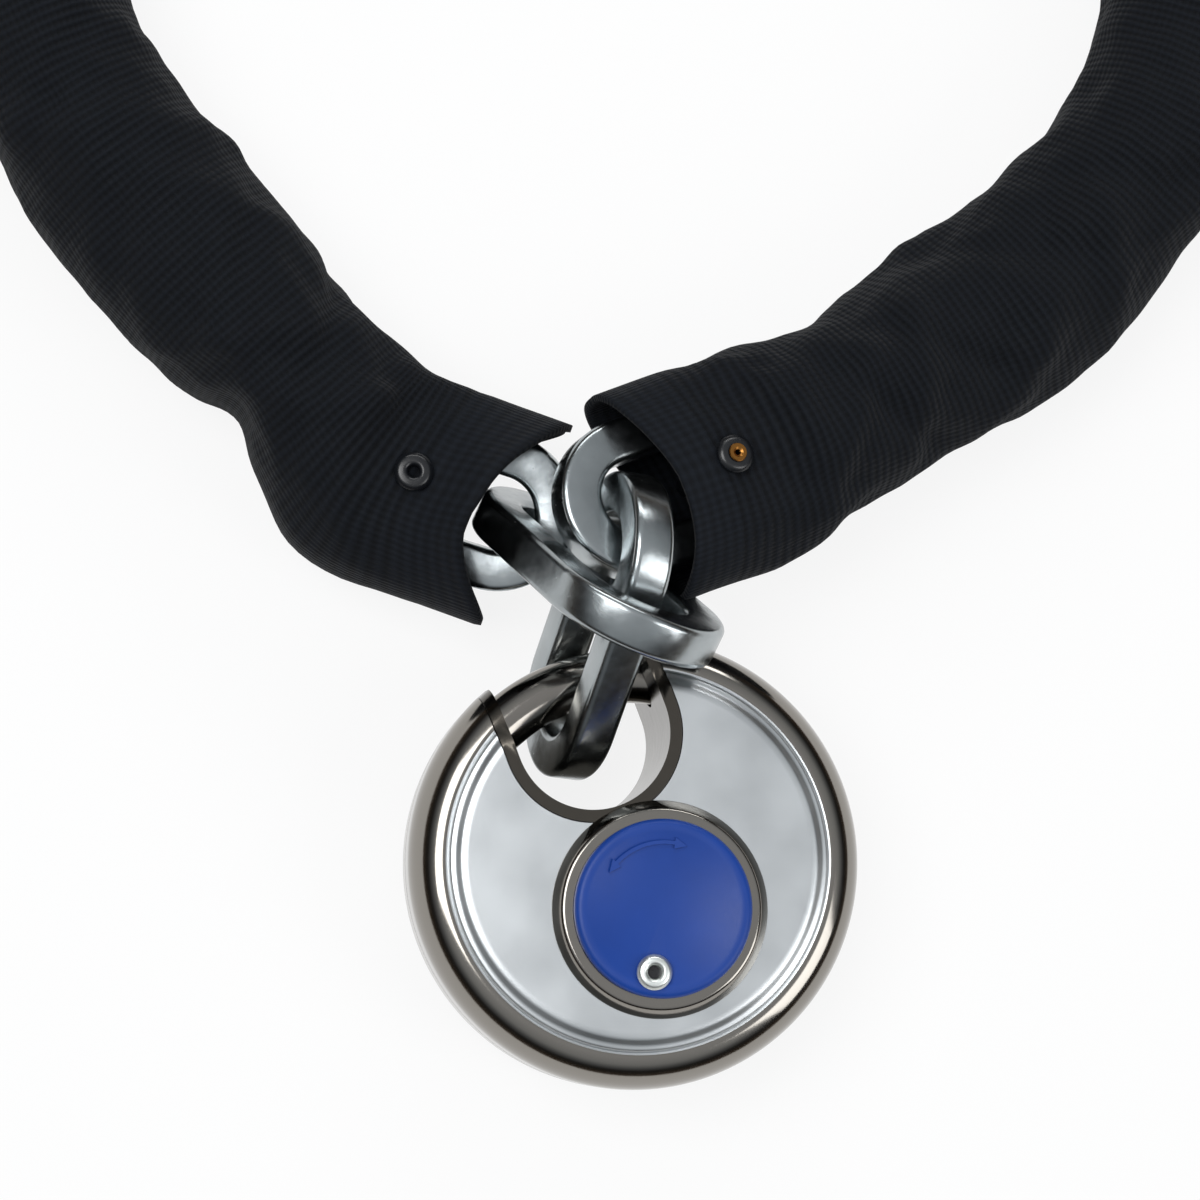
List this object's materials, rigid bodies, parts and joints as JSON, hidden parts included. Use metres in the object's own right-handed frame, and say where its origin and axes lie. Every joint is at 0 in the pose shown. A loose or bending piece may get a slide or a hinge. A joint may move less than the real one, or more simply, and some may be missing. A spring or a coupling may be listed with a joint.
{
  "type": "chain lock",
  "caption": "Square-link security chain in a woven textile sleeve, closed into a loop by a round discus padlock with a keyed cylinder and a swinging keyway cover.",
  "frame": {"origin": "middle of the padlock's flat back face", "axes": "+Z out of the padlock's keyed front face, +Y from the padlock towards the chain loop"},
  "size_m": [0.198, 0.273, 0.0408],
  "materials": {
    "stainless": "brushed face, polished rim",
    "rivet": "satin",
    "blue_cap": "moulded, satin",
    "bare_steel": "machined",
    "brass": "machined",
    "zinc": "zinc plated, semi-gloss",
    "textile": "woven ribbed tube",
    "black_plastic": "moulded"
  },
  "bodies": {
    "sleeved_chain": {"chain_link_01": "zinc", "chain_link_02": "zinc", "chain_link_03": "zinc", "chain_link_04": "zinc", "chain_link_05": "zinc", "chain_link_06": "zinc", "chain_link_07": "zinc", "chain_link_08": "zinc", "chain_link_09": "zinc", "chain_link_10": "zinc", "chain_link_11": "zinc", "chain_link_12": "zinc", "chain_link_13": "zinc", "chain_link_14": "zinc", "chain_link_15": "zinc", "chain_link_16": "zinc", "chain_link_17": "zinc", "chain_link_18": "zinc", "chain_link_19": "zinc", "chain_link_20": "zinc", "chain_link_21": "zinc", "textile_sleeve": "textile", "sleeve_rivet_left": "black_plastic", "sleeve_rivet_right": "black_plastic"},
    "left_end_link": {"end_link_left": "zinc"},
    "right_end_link": {"end_link_right": "zinc"},
    "padlock": {"lock_front_shell": "stainless", "lock_rear_shell": "stainless", "throat_liner": "stainless", "cylinder_housing": "brass", "cylinder_collar": "stainless", "cover_rivet": "rivet", "guide_strip_left": "bare_steel", "guide_strip_right": "bare_steel", "driver_pin_1": "bare_steel", "driver_pin_2": "bare_steel", "driver_pin_3": "bare_steel", "driver_pin_4": "bare_steel", "pin_spring_1": "bare_steel", "pin_spring_2": "bare_steel", "pin_spring_3": "bare_steel", "pin_spring_4": "bare_steel"},
    "shackle": {"lock_shackle": "stainless", "shackle_gear_sector": "bare_steel", "shackle_carrier_pin_1": "bare_steel", "shackle_carrier_pin_2": "bare_steel"},
    "plug": {"cylinder_plug": "brass", "drive_pinion": "bare_steel", "pinion_screw": "bare_steel", "key_pin_1": "brass", "key_pin_2": "brass", "key_pin_3": "brass", "key_pin_4": "brass"},
    "key_cover": {"keyway_cover": "blue_cap"}
  },
  "joints": [
    {"name": "left_end_link_swing", "type": "hinge", "parent": "sleeved_chain", "child": "left_end_link", "pos_m": [-0.009, 0.043, 0.015], "axis": [0, 0, 1], "range_deg": [0, 4]},
    {"name": "right_end_link_swing", "type": "hinge", "parent": "sleeved_chain", "child": "right_end_link", "pos_m": [-0.0075, 0.0447, 0.025], "axis": [0, 0, 1], "range_deg": [-5, 0]},
    {"name": "padlock_swing", "type": "hinge", "parent": "right_end_link", "child": "padlock", "pos_m": [0, 0, 0.012], "axis": [0, 0, 1], "range_deg": [-8, 0]},
    {"name": "shackle_turn", "type": "hinge", "parent": "padlock", "child": "shackle", "pos_m": [0, 0, 0.012], "axis": [0, 0, 1], "range_deg": [-62, 0]},
    {"name": "plug_turn", "type": "hinge", "parent": "padlock", "child": "plug", "pos_m": [0.00239, -0.00658, 0.012], "axis": [0, 0, 1], "range_deg": [-124, 0]},
    {"name": "cover_swing", "type": "hinge", "parent": "padlock", "child": "key_cover", "pos_m": [0.00091, -0.01478, 0.027], "axis": [0, 0, 1], "range_deg": [-110, 110]}
  ],
  "couplings": [
    {"joint": "plug_turn", "follows": "shackle_turn", "ratio": 2}
  ]
}
